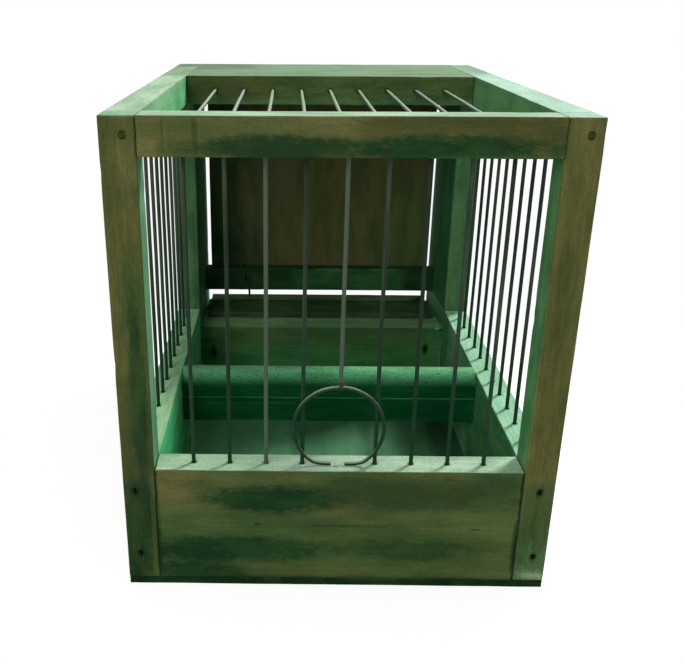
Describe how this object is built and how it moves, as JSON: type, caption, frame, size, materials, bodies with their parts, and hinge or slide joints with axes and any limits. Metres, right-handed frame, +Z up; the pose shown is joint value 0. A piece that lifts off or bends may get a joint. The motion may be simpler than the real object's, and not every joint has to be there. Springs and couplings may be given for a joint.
{
  "type": "canary breeding cage",
  "caption": "Small wooden bird cage with a barred cabin, a wire feeding ring, a perch, and a closed nest box with a hanging rear door and a slide-out floor.",
  "frame": {"origin": "middle of the underside of the base panel", "axes": "+Z up, +Y from the barred front to the rear door, +X to the right seen from the front"},
  "size_m": [0.2, 0.276, 0.223],
  "materials": {
    "olive_wood": "weathered green stain on bare fir, olive, matt",
    "green_wood": "thin green stain on fir, matt, worn",
    "green_ply": "dark green stained plywood",
    "bare_ply": "bare plywood with green smears",
    "wire": "drawn steel wire, dull",
    "nail_iron": "dark rusted nail heads",
    "solder": "rough brown braze",
    "glue": "dried white glue"
  },
  "bodies": {
    "cage": {"base_panel": "green_ply", "front_post_left": "olive_wood", "front_post_right": "olive_wood", "front_board": "olive_wood", "side_board_left": "green_wood", "side_board_right": "green_wood", "front_top_rail": "olive_wood", "side_top_rail_left": "green_wood", "side_top_rail_right": "green_wood", "cross_rail": "green_wood", "roof_board": "green_wood", "nest_wall_left": "green_wood", "nest_wall_right": "green_wood", "perch_cap": "green_wood", "perch_bearer": "green_wood", "shelf_board": "green_wood", "back_board": "green_wood", "back_rail": "green_wood", "shelf_block_left": "green_wood", "shelf_block_right": "green_wood", "latch_nail": "nail_iron", "door_pivot_nails": "nail_iron", "feeding_ring": "wire", "ring_solder": "solder", "ring_glue": "glue", "front_bar_1": "wire", "front_bar_2": "wire", "front_bar_3": "wire", "front_bar_4": "wire", "front_bar_5": "wire", "front_bar_6": "wire", "front_bar_7": "wire", "front_bar_8": "wire", "front_bar_9": "wire", "top_bar_1": "wire", "top_bar_2": "wire", "top_bar_3": "wire", "top_bar_4": "wire", "top_bar_5": "wire", "top_bar_6": "wire", "top_bar_7": "wire", "top_bar_8": "wire", "top_bar_9": "wire", "side_bars_left": "wire", "side_bars_right": "wire", "post_nails": "nail_iron", "side_nails_left": "nail_iron", "side_nails_right": "nail_iron", "base_nails": "nail_iron", "shelf_nails": "nail_iron"},
    "door": {"rear_door": "bare_ply"},
    "floor": {"nest_floor": "bare_ply"},
    "latch": {"wire_latch": "wire"}
  },
  "joints": [
    {"name": "door_pivot", "type": "hinge", "parent": "cage", "child": "door", "pos_m": [0, 0.1323, 0.2015], "axis": [1, 0, 0], "range_deg": [0, 100]},
    {"name": "floor_slide", "type": "slide", "parent": "cage", "child": "floor", "axis": [0, 1, 0], "range_m": [0, 0.028]},
    {"name": "latch_turn", "type": "hinge", "parent": "cage", "child": "latch", "pos_m": [-0.0546, 0.1189, 0.0746], "axis": [0, 1, 0], "range_deg": [-49, 81]}
  ]
}
